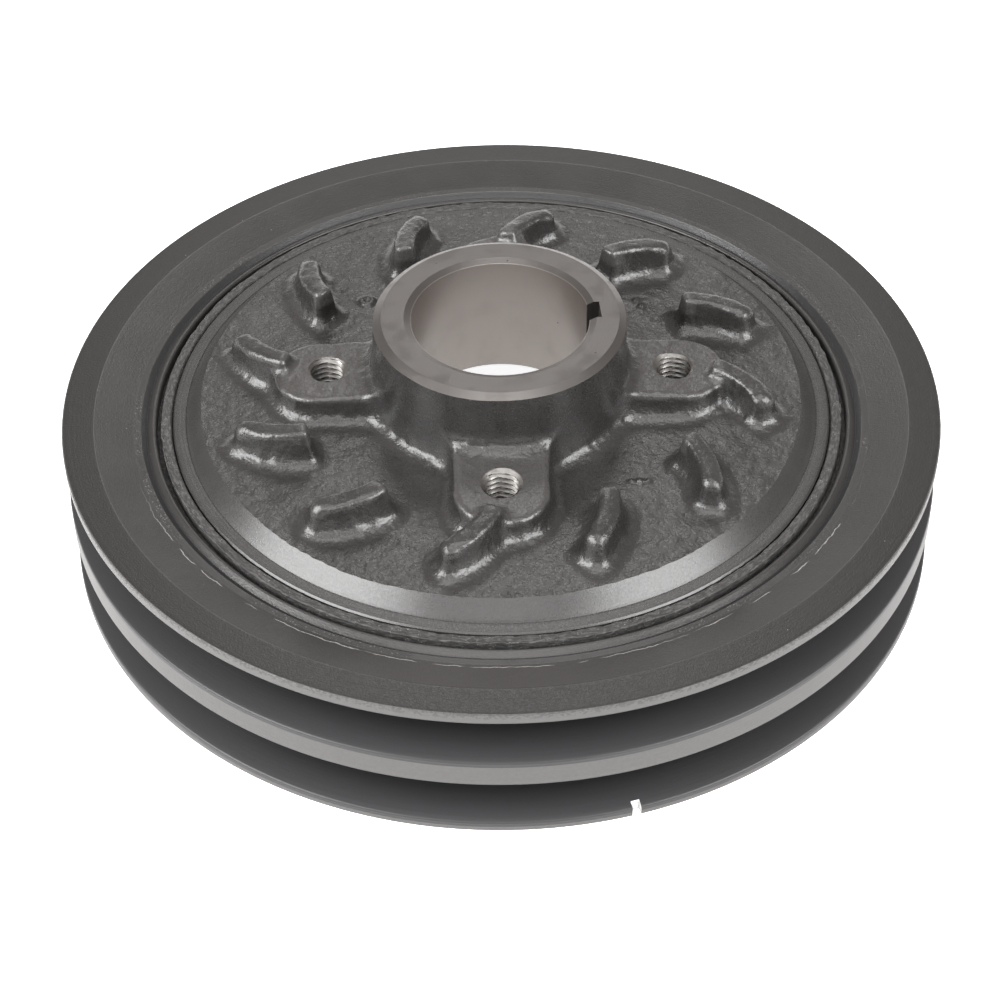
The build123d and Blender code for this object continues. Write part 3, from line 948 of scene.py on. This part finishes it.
# ---- the object ------------------------------------------------------------------------------------
hub = cast_hub([cast_paint(), bare_steel(), turned_paint(), thread_steel()])
ring = outer_ring([face_paint(), land_coat(), flank_paint(), film(), corner_edge(), white_paint()])
sleeve = rubber_sleeve([rubber()])

for piece, body, node, slot in ((hub, "hub", "hub", "hub_casting"),
                                (sleeve, "hub", "damper_rubber", "rubber"),
                                (ring, "ring", "pulley_ring", "ring_casting")):
    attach(piece, body)
    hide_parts(node)


# ---- floor, light and camera ---------------------------------------------------------------------------
CAMERA_PLACE = (-0.000396, -0.399249, 0.367493)
CAMERA_TILT = 47.542          # degrees from straight down
CAMERA_ROLL = -0.5767
CAMERA_LENS = 90.93           # focal length, on a 36 mm sensor
WORLD_STRENGTH = 0.5
WORLD_DARK = 0.1              # strength low down in front
SOFTBOXES = (                 # name, direction, distance, width, height and radiance
    ("softbox_left", (-0.76, -0.38, 0.56), 1.3, 1.15, 0.8, 11),
    ("softbox_right", (0.69, -0.47, 0.56), 1.3, 0.85, 0.8, 10),
    ("softbox_top", (0, -0.2, 0.98), 1.3, 0.75, 0.75, 3.2),
    ("softbox_back", (0, 0.68, 0.73), 1.5, 0.36, 0.34, 4.2),
    ("softbox_front", (0, -0.77, 0.64), 1.5, 0.8, 0.5, 3.2),
    ("bright_back", (0, 0.98, 0.2), 1.6, 2.0, 0.5, 1.5),
)


def studio_floor():
    """A plain white floor that glows, so that it fades into the surroundings."""
    s = Surface("studio_floor", Emission_Color=(1, 1, 1, 1), Emission_Strength=0.9)
    material = s.finish(s.mix(s.patches(400, 2, 0.3, 0.7), (0.78, 0.78, 0.78), (0.8, 0.8, 0.8)), 0.9)
    reach = 3.0
    mesh = bpy.data.meshes.new("floor")
    mesh.from_pydata([(-reach, -reach, 0), (reach, -reach, 0), (reach, reach, 0), (-reach, reach, 0)],
                     [], [(0, 1, 2, 3)])
    mesh.materials.append(material)
    floor = bpy.data.objects.new("floor", mesh)
    bpy.context.scene.collection.objects.link(floor)


def softbox(name, direction, distance, width, height, radiance):
    """A rectangular lamp that faces the object."""
    light = bpy.data.lights.new(name, "AREA")
    light.shape = "RECTANGLE"
    light.size = width
    light.size_y = height
    light.energy = radiance * pi * width * height
    lamp = bpy.data.objects.new(name, light)
    place = Vector(direction).normalized() * distance
    lamp.location = place
    lamp.rotation_euler = place.to_track_quat("Z", "Y").to_euler()
    bpy.context.scene.collection.objects.link(lamp)


def studio_world():
    """White surroundings that fall off low down in front, where the room is dark."""
    world = bpy.data.worlds.new("studio")
    world.use_nodes = True
    nodes, links = world.node_tree.nodes, world.node_tree.links
    split = nodes.new("ShaderNodeSeparateXYZ")
    links.new(nodes.new("ShaderNodeTexCoord").outputs["Generated"], split.inputs[0])
    shares = []
    for axis, near, far in ((1, -0.1, -0.6), (2, 0.55, 0.15)):
        share = nodes.new("ShaderNodeMapRange")
        share.interpolation_type = "SMOOTHSTEP"
        share.inputs["From Min"].default_value = near
        share.inputs["From Max"].default_value = far
        links.new(split.outputs[axis], share.inputs["Value"])
        shares.append(share)
    front_low = nodes.new("ShaderNodeMath")
    front_low.operation = "MULTIPLY"
    for share, socket in zip(shares, front_low.inputs):
        links.new(share.outputs[0], socket)
    strength = nodes.new("ShaderNodeMapRange")
    links.new(front_low.outputs[0], strength.inputs["Value"])
    strength.inputs["To Min"].default_value = WORLD_STRENGTH
    strength.inputs["To Max"].default_value = WORLD_DARK
    links.new(strength.outputs[0], nodes["Background"].inputs["Strength"])
    nodes["Background"].inputs["Color"].default_value = (1, 0.93, 0.885, 1)
    bpy.context.scene.world = world


def add_camera():
    camera = bpy.data.cameras.new("camera")
    camera.lens = CAMERA_LENS
    camera.sensor_width = 36
    eye = bpy.data.objects.new("camera", camera)
    turn = Matrix.Rotation(radians(CAMERA_TILT), 4, "X") @ Matrix.Rotation(radians(CAMERA_ROLL), 4, "Z")
    eye.matrix_world = Matrix.Translation(CAMERA_PLACE) @ turn
    bpy.context.scene.collection.objects.link(eye)
    bpy.context.scene.camera = eye


studio_floor()
studio_world()
for lamp in SOFTBOXES:
    softbox(*lamp)
add_camera()
bpy.context.scene.view_settings.view_transform = "Standard"
